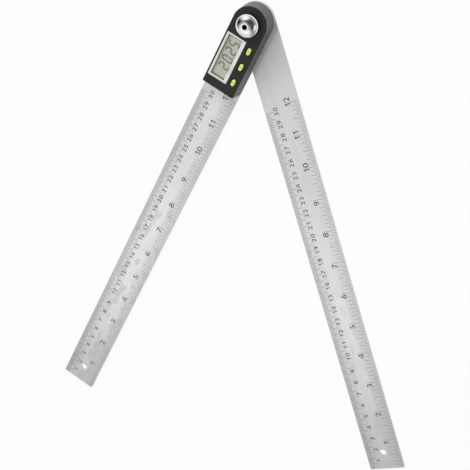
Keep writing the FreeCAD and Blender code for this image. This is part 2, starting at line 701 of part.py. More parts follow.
def make_battery_cover():
    """Disc flush with the ruler's back, with a coin slot, a plug and two bayonet lugs."""
    place = (0, CELL_Y)
    disc_front = BASE_BACK + COVER_THICK
    cover = cylinder(COVER_R, BASE_BACK, disc_front, place)
    cover = cover.fuse(cylinder(COVER_PLUG_R, disc_front, LUG_FRONT, place))
    for lug in cover_lugs(COVER_LUG_LENGTH, COVER_LUG_REACH, LUG_BACK, LUG_FRONT):
        cover = cover.fuse(lug)
    half_length = COIN_SLOT_LENGTH / 2
    half_width = COIN_SLOT_WIDTH / 2
    slot = block(-half_length, half_length, CELL_Y - half_width, CELL_Y + half_width,
                 BASE_BACK - CUT_OVERRUN, BASE_BACK + COIN_SLOT_DEPTH)
    return cover.cut(slot).removeSplitter()


def make_cell_contact_minus():
    """Leaf spring from the board down to the middle of the battery."""
    foot_back = BOARD_BACK - CONTACT_THICK
    tip_front = CELL_FRONT + CONTACT_THICK
    start = CELL_Y + CONTACT_REACH
    bend = start - CONTACT_FOOT
    end = CELL_Y - CONTACT_FOOT / 2
    outline = [(start, BOARD_BACK), (bend, BOARD_BACK), (CELL_Y, tip_front), (end, tip_front),
               (end, CELL_FRONT), (CELL_Y, CELL_FRONT), (bend, foot_back), (start, foot_back)]
    leaf = flat_face([vec(-CONTACT_WIDTH / 2, y, z) for y, z in outline])
    return leaf.extrude(vec(CONTACT_WIDTH, 0, 0))


def make_cell_contact_plus():
    """Bent strip from the board down to the battery's side, through the holder's notch."""
    half = CONTACT_WIDTH / 2
    side = CELL_Y - CELL_D / 2
    outer = side - CONTACT_THICK
    tab = block(-half, half, outer, side, CELL_BACK + CELL_THICK / 2, BOARD_BACK)
    foot = block(-half, half, outer, side + CONTACT_FOOT / 2, BOARD_BACK - CONTACT_THICK, BOARD_BACK)
    return tab.fuse(foot)


def make_parts():
    parts = {
        "base_ruler": make_base_ruler(),
        "housing_cover": make_housing_cover(),
        "housing_screws": make_housing_screws(),
        "display_bezel": make_display_bezel(),
        "display_window": make_display_window(),
        "lcd_panel": make_lcd_panel(),
        "zebra_strips": make_zebra_strips(),
        "circuit_board": make_circuit_board(),
        "board_screws": make_board_screws(),
        "controller_chip": make_controller_chip(),
        "key_switches": make_key_switches(),
        "pivot_bush": make_pivot_bush(),
        "spring_washer": make_spring_washer(),
        "coin_cell": make_coin_cell(),
        "battery_holder": make_battery_holder(),
        "cell_contact_minus": make_cell_contact_minus(),
        "cell_contact_plus": make_cell_contact_plus(),
        "battery_cover": make_battery_cover(),
        "swing_ruler": make_swing_ruler(),
        "pivot_shaft": make_pivot_shaft(),
        "friction_washer": make_friction_washer(),
        "retaining_clip": make_retaining_clip(),
        "encoder_rotor": make_encoder_rotor(),
        "pressure_washer": make_pressure_washer(),
        "lock_knob": make_lock_knob(),
    }
    for name, place in zip(BUTTON_NAMES, BUTTON_PLACES):
        parts[name] = make_button(place)
    return parts


os.makedirs("parts", exist_ok=True)
for name, shape in make_parts().items():
    shape.exportStep(os.path.join("parts", name + ".step"))
    print(name, len(shape.Solids), "solid, valid", shape.isValid(), "volume", round(shape.Volume, 2))
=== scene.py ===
"""Digital angle finder: fine forms, printed scales, display figures, finishes, light and camera.

Places are written in millimetres in the part's own frame: Z is out of the display, zero on the
pivot axis and on the back of the swing ruler, and the base ruler runs towards -Y.
"""
import bmesh
import bpy
import math
from mathutils import Matrix, Vector


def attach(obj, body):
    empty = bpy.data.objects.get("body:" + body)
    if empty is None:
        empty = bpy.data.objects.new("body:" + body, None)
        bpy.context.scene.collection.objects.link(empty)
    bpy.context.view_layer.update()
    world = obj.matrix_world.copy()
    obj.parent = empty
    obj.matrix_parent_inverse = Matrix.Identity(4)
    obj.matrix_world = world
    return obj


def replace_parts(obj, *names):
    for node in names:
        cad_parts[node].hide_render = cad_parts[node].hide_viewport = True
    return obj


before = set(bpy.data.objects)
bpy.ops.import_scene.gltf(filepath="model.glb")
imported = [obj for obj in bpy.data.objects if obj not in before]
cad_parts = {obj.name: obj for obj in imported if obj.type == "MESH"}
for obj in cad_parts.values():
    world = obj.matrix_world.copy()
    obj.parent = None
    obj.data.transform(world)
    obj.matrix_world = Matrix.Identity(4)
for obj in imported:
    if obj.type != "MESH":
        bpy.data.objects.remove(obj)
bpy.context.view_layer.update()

MM = 0.001
INCH = 25.4
REST_ANGLE_DEG = 45.0

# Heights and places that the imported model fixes
RULER_REACH = 366.9
CELL_CENTRE = (0, -38.5, 0)
BASE_FRONT = 2.7
SWING_FRONT = 1.2
LCD_FRONT = 13.6
BEZEL_SEAT = 14.4
BEZEL_FRONT = 15.55

# Colours, linear
STEEL = (0.91, 0.91, 0.91)
INK = (0.085, 0.085, 0.09)
BORE_BLACK = (0.02, 0.02, 0.02)
HOUSING_BLACK = (0.022, 0.022, 0.024)
# Painted light: the housing's walls, paler than its face for the light on the sides
HOUSING_WALL_PAINTED_LIGHT = (0.13, 0.13, 0.133)
COVER_BLACK = (0.02, 0.02, 0.021)
BEZEL_GREY = (0.80, 0.81, 0.765)
LCD_GREEN = (0.54, 0.58, 0.46)
LCD_FIGURE = (0.13, 0.15, 0.115)
# Painted shade on the display under the bezel's inner walls
LCD_PAINTED_SHADE = (0.19, 0.205, 0.155)
LIME = (0.90, 0.95, 0.27)
MARK_LIME = (0.64, 0.73, 0.08)
# Painted shade: the key skirts, dark for the shade in the wells
SKIRT_PAINTED_SHADE = (0.10, 0.11, 0.015)
CHROME = (0.86, 0.865, 0.87)
PANE_TINT = (0.78, 0.80, 0.78)
CONNECTOR_PINK = (0.45, 0.25, 0.30)
BOARD_GREEN = (0.03, 0.17, 0.07)
ROTOR_GREEN = (0.04, 0.20, 0.09)
POTTING_BLACK = (0.02, 0.02, 0.02)
SWITCH_BLACK = (0.07, 0.07, 0.07)
NYLON_WHITE = (0.85, 0.85, 0.82)
HOUSING_SCREW_ZINC = (0.5, 0.5, 0.51)
BOARD_SCREW_ZINC = (0.35, 0.35, 0.36)
BRONZE = (0.65, 0.47, 0.23)
SHAFT_STEEL = (0.62, 0.62, 0.62)
SPRING_STEEL = (0.42, 0.42, 0.43)
CELL_NICKEL = (0.70, 0.70, 0.70)
CONTACT_GOLD = (0.80, 0.70, 0.45)
FLOOR_WHITE = (0.95, 0.95, 0.95)


class Reading:
    """One output of a shader node. Arithmetic on it adds Math nodes."""

    def __init__(self, nodes, socket):
        self.nodes = nodes
        self.socket = socket

    def maths(self, operation, *terms):
        return self.nodes.node("ShaderNodeMath", {"operation": operation}, dict(enumerate(terms)))

    def __add__(self, other):
        return self.maths("ADD", self, other)

    def __radd__(self, other):
        return self.maths("ADD", other, self)

    def __sub__(self, other):
        return self.maths("SUBTRACT", self, other)

    def __rsub__(self, other):
        return self.maths("SUBTRACT", other, self)

    def __mul__(self, other):
        return self.maths("MULTIPLY", self, other)

    def __rmul__(self, other):
        return self.maths("MULTIPLY", other, self)

    def between(self, low, high):
        """The reading, from 0 to 1, spread over another range."""
        return self * (high - low) + low

    def step(self, start, end):
        """Zero below start, one above end, and smooth between."""
        settings = {"interpolation_type": "SMOOTHSTEP"}
        return self.nodes.node("ShaderNodeMapRange", settings, {"Value": self, 1: start, 2: end})


class Nodes:
    """A node tree that is being filled."""

    def __init__(self, tree):
        self.tree = tree
        tree.nodes.clear()

    def node(self, kind, settings=None, values=None, output=0):
        made = self.tree.nodes.new(kind)
        for key, value in (settings or {}).items():
            setattr(made, key, value)
        for key, value in (values or {}).items():
            self.feed(made.inputs[key], value)
        return Reading(self, made.outputs[output])

    def feed(self, socket, value):
        if isinstance(value, Reading):
            self.tree.links.new(value.socket, socket)
        elif socket.type == "RGBA":
            socket.default_value = (*value, 1)
        else:
            socket.default_value = value

    def mix(self, share, low, high):
        """A colour between two others."""
        return self.node("ShaderNodeMix", {"data_type": "RGBA"}, {0: share, 6: low, 7: high}, 2)

    def rays(self, first, *others):
        """One for a ray of any of the kinds, else zero."""
        found = self.node("ShaderNodeLightPath", output="Is " + first + " Ray")
        for kind in others:
            found = found.maths("MAXIMUM", found, self.rays(kind))
        return found


class Finish(Nodes):
    """A procedural material on one Principled shader."""

    def __init__(self, name, **steady):
        self.material = bpy.data.materials.new(name)
        self.material.use_nodes = True
        super().__init__(self.material.node_tree)
        self.shader = self.tree.nodes.new("ShaderNodeBsdfPrincipled")
        self.surface = self.tree.nodes.new("ShaderNodeOutputMaterial").inputs["Surface"]
        self.tree.links.new(self.shader.outputs[0], self.surface)
        for socket, value in steady.items():
            self.set(socket.replace("_", " "), value)

    def set(self, socket, value):
        self.feed(self.shader.inputs[socket], value)

    def place(self, size=1.0, turn_deg=0.0, centre=(0, 0, 0)):
        """Position over the piece, counted in steps of size millimetres."""
        sizes = size if isinstance(size, tuple) else (size, size, size)
        values = {
            "Vector": self.node("ShaderNodeTexCoord", output="Object"),
            "Location": [c * MM for c in centre],
            "Rotation": (0, 0, math.radians(turn_deg)),
            "Scale": [s * MM for s in sizes],
        }
        return self.node("ShaderNodeMapping", {"vector_type": "TEXTURE"}, values)

    def noise(self, size, turn_deg=0.0, detail=2.0):
        values = {"Vector": self.place(size, turn_deg), "Scale": 1.0, "Detail": detail}
        return self.node("ShaderNodeTexNoise", None, values)

    def rings(self, pitch, centre):
        """Fine turning marks about a vertical axis."""
        flat = self.node("ShaderNodeVectorMath", {"operation": "MULTIPLY"},
                         {0: self.place(pitch, centre=centre), 1: (1, 1, 0)})
        radius = self.node("ShaderNodeVectorMath", {"operation": "LENGTH"}, {0: flat}, "Value")
        return self.node("ShaderNodeTexNoise", {"noise_dimensions": "1D"}, {"W": radius, "Scale": 1.0})

    def bump(self, height, depth):
        """Relief of a depth in millimetres."""
        values = {"Strength": 1.0, "Distance": depth * MM, "Height": height}
        self.set("Normal", self.node("ShaderNodeBump", None, values))


def shade(colour, share):
    """The colour, made darker or paler by a share."""
    return [c * share for c in colour]


# The rulers' steel: sizes of its marks, and where its zones start and end
GRAIN_SIZE = (0.12, 18.0, 1.0)
STREAK_SIZE = (0.7, 60.0, 1.0)
CLOUD_SIZE = (8.0, 24.0, 10.0)
PATCH_SIZE = (7.0, 17.0, 10.0)
BAND_EDGE = (12.5, 9.5)
# Painted shade of the housing on the steel: the unprinted part near the pivot is darkened, fading out away
# from it
HOUSING_SHADE_REACH = 57.0
HOUSING_SHADE_BLUR = 0.5
HOUSING_SHADE_FADE = (63.0, 31.0)
SMUDGE_START = (90.0, 190.0)
FREE_END_FADE = (245.0, 400.0)
PIVOT_END_FADE = (190.0, 110.0)
STEEL_ROUGHNESS = (0.22, 0.32)


def brushed_steel(name, turn_deg, band_start, smudge_share):
    """Satin sheet: lengthwise grain, clouds, smudges, a cleaner band between the scales, darker towards both
    ends, and painted shade of the housing on the unprinted part near the pivot.
    """
    steel = Finish(name, Metallic=0.45)
    grain = steel.noise(GRAIN_SIZE, turn_deg, 3.0)
    streak = steel.noise(STREAK_SIZE, turn_deg)
    cloud = steel.noise(CLOUD_SIZE, turn_deg, 4.0)
    patch = steel.noise(PATCH_SIZE, turn_deg, 1.0)
    place = steel.place(1.0, turn_deg)
    across = steel.node("ShaderNodeSeparateXYZ", None, {0: place}, "X")
    reach = steel.node("ShaderNodeSeparateXYZ", None, {0: place}, "Y") * -1.0
    wander = cloud * 7.0 + patch * 5.0
    strip = (across.maths("ABSOLUTE", across) + wander).step(*BAND_EDGE)
    band = reach.step(*band_start).between(0.6, strip)
    mottle = (grain * 0.2 + streak * 0.2 + cloud * 0.35 + patch * 0.25).step(0.37, 0.63)
    clean = steel.mix(mottle * 0.5 + band * 0.5, shade(STEEL, 0.74), STEEL)
    # Painted shade: the steel beside and under the housing is darkened towards the pivot, for the housing's
    # shadow and dark reflection
    housing_shade = (reach + patch * 0.6).step(HOUSING_SHADE_REACH + HOUSING_SHADE_BLUR, HOUSING_SHADE_REACH)
    housing_shade = housing_shade * (reach + cloud * 6.0).step(*HOUSING_SHADE_FADE).between(0.04, 0.4)
    smudge = (patch * 0.7 + cloud * 0.3).step(0.53, 0.62) * reach.step(*SMUDGE_START) * smudge_share
    # Smudges, and the painted shade of the housing, darken the steel here
    smudged_and_shaded = steel.mix(housing_shade.maths("MAXIMUM", housing_shade, smudge), clean, shade(STEEL, 0.62))
    # Darker towards the free end and towards the pivot end
    darker_ends = (reach + cloud * 40.0).step(*FREE_END_FADE) * 0.68 + reach.step(*PIVOT_END_FADE) * 0.19
    steel.set("Base Color", steel.mix(darker_ends, smudged_and_shaded, shade(STEEL, 0.5)))
    steel.set("Roughness", (cloud * 0.5 + streak * 0.5).step(0.3, 0.7).between(*STEEL_ROUGHNESS))
    steel.bump(grain * 0.7 + streak * 0.3, 0.004)
    return steel


def turned_metal(name, colour, centre=(0, 0, 0)):
    """Metal with fine circular marks and light handling wear."""
    metal = Finish(name, Metallic=1.0)
    marks = metal.rings(0.09, centre)
    smear = metal.noise(3.0)
    worn = (marks * 0.6 + smear * 0.4).step(0.25, 0.75)
    metal.set("Base Color", metal.mix(worn, shade(colour, 0.8), colour))
    metal.set("Roughness", (marks * 0.5 + smear * 0.5).between(0.19, 0.39))
    metal.bump(marks, 0.004)
    return metal


def plated_metal(name, colour, roughness=0.22):
    """Plated or stamped small metal with a soft mottle."""
    metal = Finish(name, Metallic=1.0)
    mottle = metal.noise(0.8, detail=4.0)
    metal.set("Base Color", metal.mix(mottle.step(0.3, 0.7), shade(colour, 0.78), colour))
    metal.set("Roughness", mottle.between(roughness - 0.05, roughness + 0.2))
    metal.bump(mottle, 0.01)
    return metal


def chrome_plate(name):
    """Mirror plate with a trace of polishing haze."""
    chrome = Finish(name, Metallic=1.0)
    haze = chrome.noise(4.0, detail=4.0)
    marks = chrome.rings(0.15, (0, 0, 0))
    chrome.set("Base Color", chrome.mix(haze.step(0.3, 0.75), shade(CHROME, 0.95), CHROME))
    chrome.set("Roughness", (haze * 0.6 + marks * 0.4).step(0.35, 0.8).between(0.03, 0.11))
    return chrome


def moulded_plastic(name, colour, texture=0.3, depth=0.02, roughness=0.5):
    """Moulding with an even fine texture, a slow change of gloss and slight rubbing."""
    plastic = Finish(name)
    pebble = plastic.noise(texture, detail=3.0)
    slow = plastic.noise(9.0, detail=3.0)
    tone = pebble * 0.5 + slow * 0.5
    plastic.set("Base Color", plastic.mix(tone.step(0.3, 0.75), shade(colour, 0.8), shade(colour, 1.2)))
    plastic.set("Roughness", tone.step(0.3, 0.7).between(roughness - 0.07, roughness + 0.1))
    plastic.bump(pebble, depth)
    return plastic


def housing_moulding(name):
    """The housing's black: a smoother face, and rougher walls with a paler colour that is painted light from
    the side.
    """
    black = Finish(name, Specular_IOR_Level=0.3)
    pebble = black.noise(0.3, detail=3.0)
    slow = black.noise(9.0, detail=3.0)
    tone = (pebble * 0.5 + slow * 0.5).step(0.3, 0.75)
    normal = black.node("ShaderNodeNewGeometry", output="Normal")
    wall = black.node("ShaderNodeSeparateXYZ", None, {0: normal}, "Z").step(0.55, 0.2)
    face = black.mix(tone, shade(HOUSING_BLACK, 0.8), shade(HOUSING_BLACK, 1.2))
    # Painted light: the walls take a paler copy of the housing's black, for light falling on the sides
    side = black.mix(tone, shade(HOUSING_WALL_PAINTED_LIGHT, 0.85), shade(HOUSING_WALL_PAINTED_LIGHT, 1.15))
    black.set("Base Color", black.mix(wall, face, side))
    black.set("Roughness", tone.between(0.36, 0.48) + wall * 0.08)
    black.bump(pebble, 0.02)
    return black


def key_rubber(name, colour):
    """Smooth silicone with a soft bloom and faint colour drift."""
    rubber = Finish(name)
    bloom = rubber.noise(0.5, detail=3.0)
    drift = rubber.noise(5.0)
    tone = (bloom * 0.4 + drift * 0.6).step(0.3, 0.7)
    rubber.set("Base Color", rubber.mix(tone, shade(colour, 0.93), colour))
    rubber.set("Roughness", bloom.between(0.42, 0.6))
    rubber.bump(bloom, 0.006)
    return rubber


def display_glass(name, colour):
    """Reflective liquid crystal behind its polariser, with a fine speckle and a slow drift of tone."""
    glass = Finish(name)
    speck = glass.noise(0.12)
    drift = glass.noise(14.0)
    tone = (speck * 0.3 + drift * 0.7).step(0.3, 0.7)
    glass.set("Base Color", glass.mix(tone, shade(colour, 0.92), colour))
    glass.set("Roughness", speck.between(0.3, 0.42))
    return glass


def clear_pane(name):
    """Clear acrylic: a little haze and a gloss that wanders."""
    pane = Finish(name, Alpha=0.07, Base_Color=PANE_TINT)
    smear = pane.noise(6.0, detail=4.0)
    pane.set("Roughness", smear.between(0.02, 0.1))
    return pane


def coated_laminate(name, colour):
    """Solder mask over copper tracks and the glass weave under it."""
    board = Finish(name)
    values = {"Vector": board.place(1.3), "Scale": 1.0, "Mortar Size": 0.14, "Mortar Smooth": 0.3}
    tracks = board.node("ShaderNodeTexBrick", {"offset": 0.5}, values, "Fac")
    weave = board.noise(0.25)
    board.set("Base Color", board.mix(tracks, colour, shade(colour, 2.1)))
    board.set("Roughness", weave.between(0.22, 0.4))
    board.bump(tracks * 0.7 + weave * 0.3, 0.03)
    return board


def printed_ink(name, colour):
    """Etched and blackened marks, slightly uneven."""
    ink = Finish(name)
    wear = ink.noise(0.6, detail=4.0)
    ink.set("Base Color", ink.mix(wear.step(0.35, 0.8), colour, shade(colour, 1.7)))
    ink.set("Roughness", wear.between(0.45, 0.7))
    return ink


class Form:
    """Points and faces in millimetres that become one piece."""

    def __init__(self):
        self.points = []
        self.faces = []

    def add(self, points, faces):
        first = len(self.points)
        self.points += points
        self.faces += [[first + i for i in face] for face in faces]

    def loft(self, rings, closed=False):
        """Skin from ring to ring, with a cap on each end or back to the first ring."""
        count = len(rings[0])
        faces = []
        spans = len(rings) if closed else len(rings) - 1
        for i in range(spans):
            low = i * count
            high = (i + 1) % len(rings) * count
            for j in range(count):
                k = (j + 1) % count
                faces.append([low + j, low + k, high + k, high + j])
        if not closed:
            faces.append(list(range(count)))
            faces.append([len(rings) * count - 1 - j for j in range(count)])
        self.add([p for ring in rings for p in ring], faces)

    def slab(self, outline, back, front):
        """A flat piece from an outline of (x, y) points."""
        self.loft([[(x, y, z) for x, y in outline] for z in (back, front)])

    def bar(self, left, right, low, high, back, front):
        self.slab([(left, low), (right, low), (right, high), (left, high)], back, front)

    def turned(self, angle_deg):
        turn = Matrix.Rotation(math.radians(angle_deg), 3, "Z")
        self.points = [tuple(turn @ Vector(p)) for p in self.points]
        return self

    def piece(self, name, body, finish, slot, smooth_deg=0):
        mesh = bpy.data.meshes.new(name)
        mesh.from_pydata([[c * MM for c in p] for p in self.points], [], self.faces)
        work = bmesh.new()
        work.from_mesh(mesh)
        bmesh.ops.remove_doubles(work, verts=work.verts, dist=1e-7)
        bmesh.ops.recalc_face_normals(work, faces=work.faces)
        work.to_mesh(mesh)
        work.free()
        if smooth_deg:
            mesh.shade_smooth()
            mesh.set_sharp_from_angle(angle=math.radians(smooth_deg))
        mesh.materials.append(finish.material)
        made = bpy.data.objects.new(name, mesh)
        bpy.context.scene.collection.objects.link(made)
        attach(made, body)
        return made


def oblong_ring(x, y, straight, radius, z, steps):
    """A closed outline with round ends; straight is half the length of its straight sides."""
    ring = []
    for side, start in ((1, 0.0), (-1, math.pi)):
        for i in range(steps + 1):
            angle = start + math.pi * i / steps
            ring.append((x + radius * math.cos(angle), y + side * straight + radius * math.sin(angle), z))
    return ring


def circle(radius, z, steps=64):
    return [(radius * math.cos(2 * math.pi * i / steps), radius * math.sin(2 * math.pi * i / steps), z)
            for i in range(steps)]


def rounded(outline, steps=5):
    """An outline of (radius, height, rounding) with each corner turned into an arc."""
    points = []
    for i, (r, z, rounding) in enumerate(outline):
        corner = Vector((r, z))
        before = (Vector(outline[i - 1][:2]) - corner).normalized()
        after = (Vector(outline[(i + 1) % len(outline)][:2]) - corner).normalized()
        if not rounding:
            points.append((r, z))
            continue
        half = before.angle(after) / 2
        back = rounding / math.tan(half)
        middle = corner + (before + after).normalized() * (rounding / math.sin(half))
        start = corner + before * back - middle
        sweep = start.angle_signed(corner + after * back - middle)
        for step in range(steps + 1):
            spoke = start.copy()
            spoke.rotate(Matrix.Rotation(-sweep * step / steps, 2))
            points.append(tuple(middle + spoke))
    return points


# The lock knob, turned from one outline of (radius, height)
KNOB_BACK = 15.7
KNOB_RECESS = (6.3, 16.8)
KNOB_BORE_R = 2.55
KNOB_SHOULDER = 21.2
KNOB_RIM = Vector((8.5, 18.6))
KNOB_CROWN_EDGE = Vector((7.95, 20.7))
KNOB_RIM_SAG = 0.16
KNOB_DOME_END = Vector((3.4, 23.0))
KNOB_DOME_SAG = 0.5
KNOB_RING_R = 3.1
KNOB_TOP = 23.8
KNOB_HOLE_R = 1.85
KNOB_RING_EASE = 0.12
KNOB_RING_FOOT_RISE = 0.1
KNOB_INNER_EASE = 0.1
KNOB_SKIRT_EASE = 0.2
KNOB_RIM_STEPS = 8
KNOB_STEPS = 128
LINING_WALL = 0.08
LINING_BASE = (22.0, 22.1)
LINING_HOLE_R = 0.4


def dome(start, end, sag, steps=24):
    """An arc from start to end that bulges outwards by sag."""
    chord = end - start
    half = chord.length / 2
    radius = (half * half + sag * sag) / (2 * sag)
    outwards = Vector((chord.y, -chord.x)).normalized()
    centre = (start + end) / 2 + outwards * (sag - radius)
    spread = math.asin(half / radius)
    points = []
    for i in range(steps + 1):
        angle = spread * (2 * i / steps - 1)
        spoke = outwards * math.cos(angle) + chord.normalized() * math.sin(angle)
        points.append(centre + spoke * radius)
    return points


def make_knob(finish):
    recess_r, recess_top = KNOB_RECESS
    outline = [(recess_r, KNOB_BACK, KNOB_INNER_EASE), (KNOB_RIM.x, KNOB_BACK, KNOB_SKIRT_EASE)]
    rim = dome(KNOB_RIM, KNOB_CROWN_EDGE, KNOB_RIM_SAG, KNOB_RIM_STEPS)
    crown = dome(KNOB_CROWN_EDGE, KNOB_DOME_END, KNOB_DOME_SAG)
    outline += [(p.x, p.y, 0) for p in rim + crown[1:]]
    outline += [
        (KNOB_RING_R, KNOB_DOME_END.y + KNOB_RING_FOOT_RISE, KNOB_INNER_EASE),
        (KNOB_RING_R, KNOB_TOP, KNOB_RING_EASE),
        (KNOB_HOLE_R, KNOB_TOP, KNOB_RING_EASE),
        (KNOB_HOLE_R, KNOB_SHOULDER, 0),
        (KNOB_BORE_R, KNOB_SHOULDER, 0),
        (KNOB_BORE_R, recess_top, 0),
        (recess_r, recess_top, KNOB_INNER_EASE),
    ]
    form = Form()
    form.loft([circle(r, z, KNOB_STEPS) for r, z in rounded(outline)], closed=True)
    shell = form.piece("knob_shell", "lock_knob", finish, "knob_chrome", smooth_deg=32)
    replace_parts(shell, "lock_knob")


def make_bore(finish):
    """A thin black lining on the walls and floor of the blind hole in the knob's top."""
    inner = KNOB_HOLE_R - LINING_WALL
    top = KNOB_TOP - 2 * KNOB_RING_EASE
    back, front = LINING_BASE
    form = Form()
    form.loft([circle(LINING_HOLE_R, back), circle(KNOB_HOLE_R, back), circle(KNOB_HOLE_R, top),
               circle(inner, top), circle(inner, front), circle(LINING_HOLE_R, front)])
    form.piece("knob_bore", "lock_knob", finish, "knob_chrome", smooth_deg=32)


# The keys
KEY_X = 8.5
KEY_FIRST_Y = -17.2
KEY_PITCH = 13.3
KEY_NAMES = ("top_button", "middle_button", "bottom_button")
KEY_SKIRT = [(0, 1.2, 11.9), (0, 1.2, 12.5), (1.35, 2.6, 12.5), (1.35, 2.6, 13.3), (1.35, 1.75, 13.3),
             (1.35, 1.7, 13.6), (1.3, 1.35, 14.2), (1.3, 1.1, 14.2)]
KEY_STRAIGHT = 1.3
KEY_RADIUS = 1.35
KEY_ROUND = 0.4
KEY_BACK = 14.0
KEY_TOP = 16.0
KEY_DISH = (0.95, 0.85, 15.92)
KEY_MARK = (0.85, 0.4)
KEY_MARK_BACK = 15.7
KEY_MARK_FRONT = 15.96
KEY_ROUND_STEPS = 6
KEY_END_STEPS = 16


def make_key(name, y, finish, mark_finish, shaded_skirt_finish):
    """A key cap with a rounded rim and a dished top, its raised oblong mark, and its skirt in the well, which
    is coloured dark as painted shade.
    """
    cap_rings = [(KEY_STRAIGHT, KEY_RADIUS, KEY_BACK)]
    for i in range(KEY_ROUND_STEPS + 1):
        angle = math.radians(90 * i / KEY_ROUND_STEPS)
        cap_rings.append((KEY_STRAIGHT, KEY_RADIUS - KEY_ROUND * (1 - math.cos(angle)),
                          KEY_TOP - KEY_ROUND * (1 - math.sin(angle))))
    cap_rings.append(KEY_DISH)
    mark_rings = [(*KEY_MARK, KEY_MARK_BACK), (*KEY_MARK, KEY_MARK_FRONT)]
    made = []
    for kind, rings, skin in (("key_cap", cap_rings, finish), ("key_mark", mark_rings, mark_finish),
                              ("key_skirt", KEY_SKIRT, shaded_skirt_finish)):
        form = Form()
        form.loft([oblong_ring(KEY_X, y, *ring, KEY_END_STEPS) for ring in rings])
        made.append(form.piece(name.replace("button", kind), name, skin, "button_lime", smooth_deg=35))
    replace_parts(made[0], name)


# The housing's screws
SCREW_PLACES = [(x, y) for y in (-18.6, -52.0) for x in (-10.25, 10.25)]
SCREW_RINGS = [(0.95, 6.5), (0.95, 2.35), (1.74, 1.56), (1.8, 1.5)]
SCREW_STEPS = 96
CROSS_REACH = 1.15
CROSS_HALF_WIDTH = 0.27
CROSS_RINGS = [(1.0, 1.5), (0.7, 2.3)]


def cross_ring(share, z):
    """The outline of a cross recess."""
    ring = []
    for i in range(SCREW_STEPS):
        angle = 2 * math.pi * (i + 0.5) / SCREW_STEPS
        across = abs(math.cos(angle))
        along = abs(math.sin(angle))
        reach = max(min(CROSS_REACH / across, CROSS_HALF_WIDTH / along),
                    min(CROSS_HALF_WIDTH / across, CROSS_REACH / along)) * share
        ring.append((reach * math.cos(angle), reach * math.sin(angle), z))
    return ring


def make_screws(finish):
    form = Form()
    rings = [circle(r, z, SCREW_STEPS) for r, z in SCREW_RINGS]
    rings += [cross_ring(share, z) for share, z in CROSS_RINGS]
    for x, y in SCREW_PLACES:
        form.loft([[(x + px, y + py, pz) for px, py, pz in ring] for ring in rings])
    screws = form.piece("cross_head_screws", "base", finish, "screw_steel", smooth_deg=35)
    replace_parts(screws, "housing_screws")


# The display: sides as left, right, low, high
BEZEL = (-11.8, 3.95, -47.9, -12.1)
BEZEL_BEVEL = 0.35
BEZEL_EASE = 0.12
BEZEL_CORNER_R = 0.3
VIEW = (-10.2, 1.25, -46.65, -13.35)
VIEW_CORNER_R = 0.15
VIEW_BEVEL_CORNER_R = 0.35
PANE = (-10.65, 1.7, -46.75, -13.25)
PANE_CORNER_R = 0.2
PANE_EASE = 0.1
PANE_BACK = 13.68
PANE_FRONT = 14.36
DIGIT_FOOT = 1.0
DIGIT_TALL = 9.4
DIGIT_WIDE = 4.4
SEGMENT_WIDTH = 1.3
SEGMENT_GAP = 0.04
DIGIT_SLANT = 0.06
READOUT = [("2", -39.75), ("0", -33.7), ("2", -27.15), ("5", -21.45)]
POINT_Y = -28.0
POINT_HALF = 0.45
SEGMENTS = {"0": "abcdef", "2": "abged", "5": "afgcd"}
LCD_SKIN = 0.02
# Painted shade bars on the display: thickness, lap under the bezel, and widths at the foot, the head and the
# top
EDGE_SKIN = 0.03
EDGE_LAP = 0.4
FOOT_EDGE = 1.1
HEAD_EDGE = 0.1
TOP_EDGE = 0.45


def segment_outline(start, end):
    """A bar with pointed ends between two corners of a figure."""
    a = Vector(start)
    b = Vector(end)
    along = (b - a).normalized()
    side = Vector((-along.y, along.x)) * (SEGMENT_WIDTH / 2)
    a = a + along * SEGMENT_GAP
    b = b - along * SEGMENT_GAP
    shoulder = along * (SEGMENT_WIDTH / 2)
    return [a, a + shoulder - side, b - shoulder - side, b, b - shoulder + side, a + shoulder + side]


def figure_outlines(figure):
    """The seven-segment bars of one figure, as (across, up) points from its lower left corner."""
    half = SEGMENT_WIDTH / 2
    left, right = half, DIGIT_WIDE - half
    low, middle, high = half, DIGIT_TALL / 2, DIGIT_TALL - half
    ends = {
        "a": ((left, high), (right, high)), "b": ((right, middle), (right, high)),
        "c": ((right, low), (right, middle)), "d": ((left, low), (right, low)),
        "e": ((left, low), (left, middle)), "f": ((left, middle), (left, high)),
        "g": ((left, middle), (right, middle)),
    }
    return [segment_outline(*ends[key]) for key in SEGMENTS[figure]]


def make_readout(finish):
    """Figures that read towards the pivot, their tops towards -X."""
    form = Form()
    for figure, start in READOUT:
        for outline in figure_outlines(figure):
            points = [(DIGIT_FOOT - p.y, start + p.x + p.y * DIGIT_SLANT) for p in outline]
            form.slab(points, LCD_FRONT - LCD_SKIN, LCD_FRONT + LCD_SKIN)
    form.bar(DIGIT_FOOT - SEGMENT_WIDTH, DIGIT_FOOT, POINT_Y - POINT_HALF, POINT_Y + POINT_HALF,
             LCD_FRONT - LCD_SKIN, LCD_FRONT + LCD_SKIN)
    form.piece("display_figures", "base", finish, "lcd_glass")


def make_view_edge(finish):
    """Painted shade on the display under the bezel's inner walls: a wide dark bar at the foot, a narrower one
    along the top and a thin line at the head.
    """
    left, right, low, high = VIEW
    form = Form()
    for bar in ((left - EDGE_LAP, right + EDGE_LAP, low - EDGE_LAP, low + FOOT_EDGE),
                (left - EDGE_LAP, right + EDGE_LAP, high - HEAD_EDGE, high + EDGE_LAP),
                (left - EDGE_LAP, left + TOP_EDGE, low + FOOT_EDGE, high - HEAD_EDGE)):
        form.bar(*bar, LCD_FRONT - LCD_SKIN, LCD_FRONT + EDGE_SKIN)
    form.piece("display_painted_shade", "base", finish, "lcd_glass")


